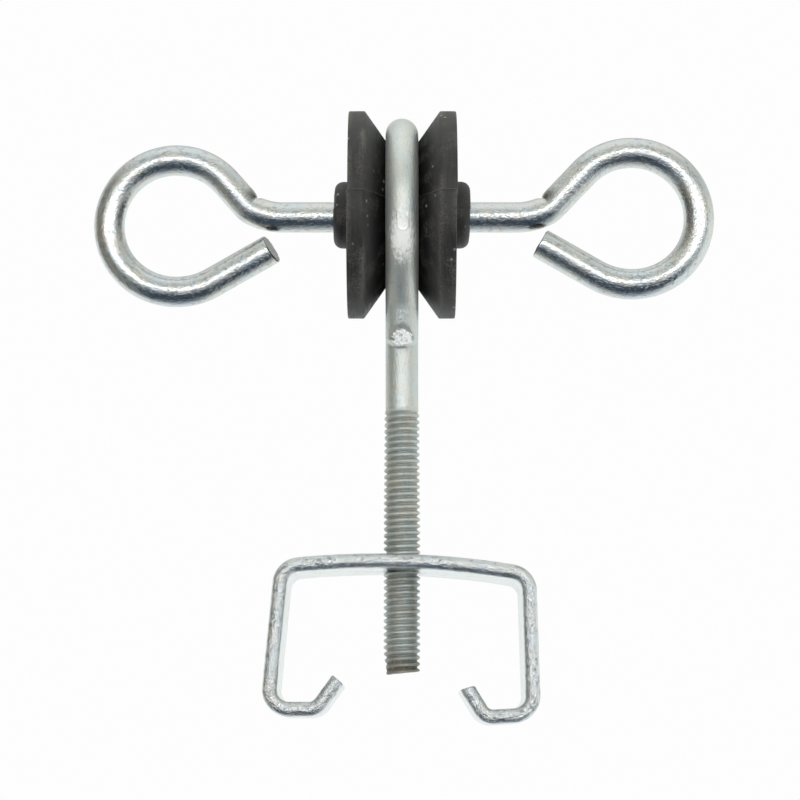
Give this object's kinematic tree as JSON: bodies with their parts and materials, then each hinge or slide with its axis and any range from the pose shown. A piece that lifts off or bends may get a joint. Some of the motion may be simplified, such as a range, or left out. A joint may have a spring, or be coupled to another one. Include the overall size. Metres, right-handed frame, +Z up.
{
  "type": "insulated t-post gate anchor",
  "caption": "Hooked steel clip for a T-post, screwed onto an eye bolt whose eye holds an insulating spool, with a ring-ended rod through the spool to anchor electric fence gates.",
  "frame": {"origin": "on the bolt's axis, level with the tips of the clip's hooks, where the post's flange is gripped", "axes": "+Z up the bolt from its tip to its eye, +X along the spool's axis and the ring-ended rod, +Y to the back, along the post that the clip hooks onto"},
  "size_m": [0.1352, 0.0452, 0.1335],
  "materials": {
    "bolt_zinc": "zinc-plated steel, satin, slightly grey and dirty in the thread",
    "rod_zinc": "bright zinc-plated steel rod with draw marks",
    "clip_zinc": "bright zinc-plated steel strip with mottled edges",
    "black_plastic": "satin black moulded plastic with a parting line"
  },
  "bodies": {
    "clip": {"post_clip": "clip_zinc"},
    "bolt": {"eye_bolt": "bolt_zinc"},
    "spool": {"spool_insulator": "black_plastic"},
    "rod": {"loop_rod": "rod_zinc"}
  },
  "joints": [
    {"name": "bolt_turn", "type": "hinge", "parent": "clip", "child": "bolt", "pos_m": [0, 0, 0.0258], "axis": [0, 0, 1], "continuous": true},
    {"name": "spool_spin", "type": "hinge", "parent": "bolt", "child": "spool", "pos_m": [0, 0, 0.1023], "axis": [1, 0, 0], "continuous": true},
    {"name": "rod_slide", "type": "slide", "parent": "spool", "child": "rod", "axis": [1, 0, 0], "range_m": [-0.01, 0.01]}
  ]
}
